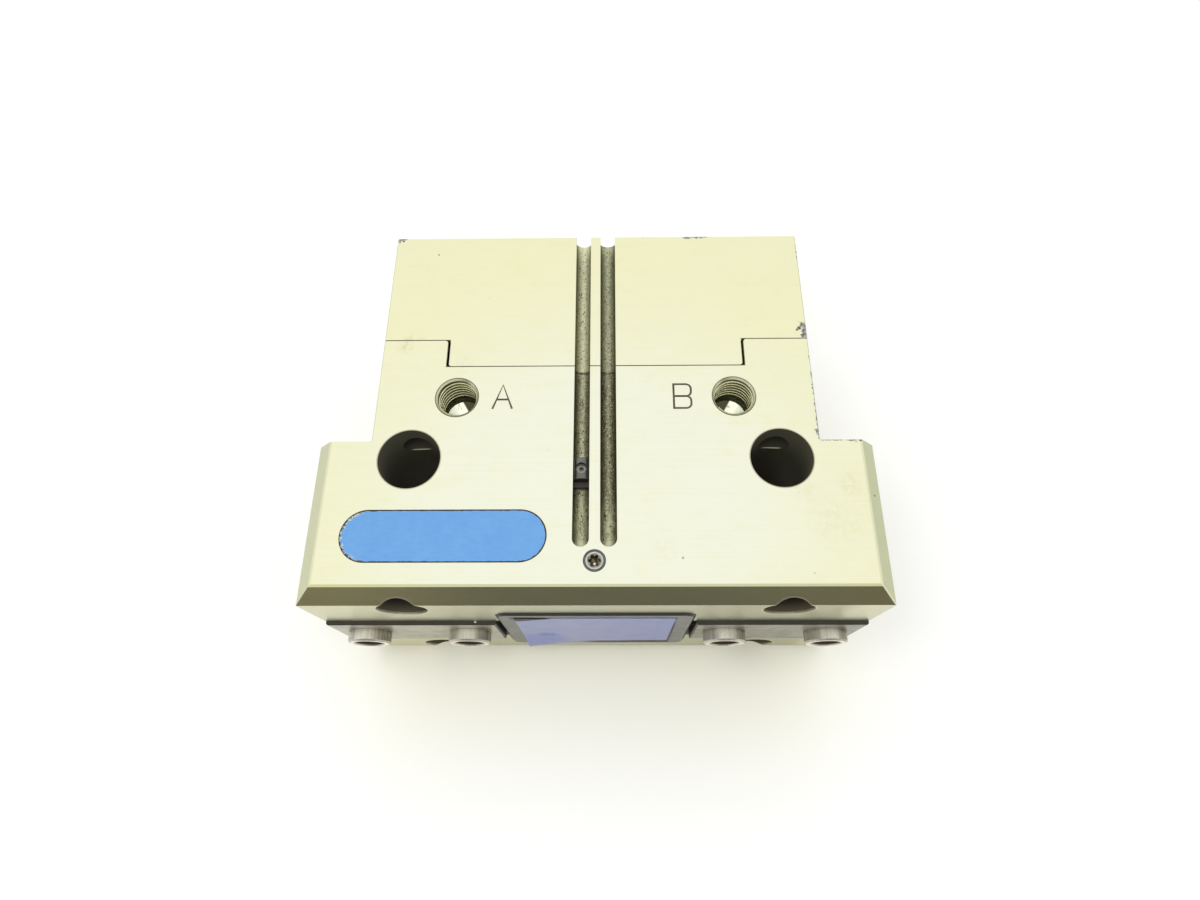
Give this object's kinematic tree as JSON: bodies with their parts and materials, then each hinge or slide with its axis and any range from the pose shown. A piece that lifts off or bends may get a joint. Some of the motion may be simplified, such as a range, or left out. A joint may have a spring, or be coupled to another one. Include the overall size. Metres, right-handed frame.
{
  "type": "pneumatic parallel gripper",
  "caption": "Parallel gripper with an anodised T-shaped body, wedge-driven base jaws with centring sleeves, spring cap, air ports and sensor slots.",
  "frame": {"origin": "centre of the rear mounting face", "axes": "+X along the right jaw's opening stroke, +Y out of the rear mounting face, +Z out of the ported face"},
  "size_m": [0.1564, 0.1197, 0.077],
  "materials": {
    "anodised_body": "hard anodised, fine ground, pale champagne",
    "piston_alloy": "turned aluminium",
    "hardened_steel": "hardened and ground",
    "sleeve_steel": "turned and ground",
    "screw_steel": "blackened or plain fastener steel",
    "spring_steel": "drawn wire",
    "magnet": "plated magnet",
    "bush_bronze": "turned bronze",
    "seal_rubber": "moulded rubber",
    "plug_ring": "blue-grey sealing ring",
    "cover_grey": "grey moulded plate",
    "clip_grey": "dark grey anodised clip",
    "plate_blue": "bare blue plate",
    "label_lavender": "bare lavender-blue label"
  },
  "bodies": {
    "housing": {"housing": "anodised_body", "spring_cap": "anodised_body", "cap_screws": "screw_steel", "cap_seal": "seal_rubber", "centre_cover": "cover_grey", "cover_screws": "screw_steel", "cover_label": "label_lavender", "name_plate": "plate_blue", "purge_plug": "screw_steel", "purge_plug_seal": "plug_ring", "rod_bush": "bush_bronze", "rod_seal": "seal_rubber", "closing_spring_left": "spring_steel", "closing_spring_right": "spring_steel"},
    "piston": {"wedge_hook": "hardened_steel", "piston": "piston_alloy", "piston_seal": "seal_rubber", "piston_magnets": "magnet", "piston_screw": "screw_steel"},
    "jaw_left": {"base_jaw_left": "hardened_steel", "centring_sleeves_left": "sleeve_steel"},
    "jaw_right": {"base_jaw_right": "hardened_steel", "centring_sleeves_right": "sleeve_steel"},
    "sensor_clip": {"sensor_clip": "clip_grey", "sensor_clip_screw": "screw_steel"}
  },
  "joints": [
    {"name": "piston_stroke", "type": "slide", "parent": "housing", "child": "piston", "axis": [0, 1, 0], "range_m": [0, 0.013], "stiffness_N_per_m": 11500, "springref_m": -0.026, "deforming": ["closing_spring_left", "closing_spring_right"]},
    {"name": "jaw_left_slide", "type": "slide", "parent": "housing", "child": "jaw_left", "axis": [-1, 0, 0], "range_m": [0, 0.013]},
    {"name": "jaw_right_slide", "type": "slide", "parent": "housing", "child": "jaw_right", "axis": [1, 0, 0], "range_m": [0, 0.013]},
    {"name": "sensor_clip_slide", "type": "slide", "parent": "housing", "child": "sensor_clip", "axis": [0, 1, 0], "range_m": [-0.015, 0.075]}
  ],
  "couplings": [
    {"joint": "jaw_left_slide", "follows": "piston_stroke", "ratio": 1},
    {"joint": "jaw_right_slide", "follows": "piston_stroke", "ratio": 1}
  ]
}
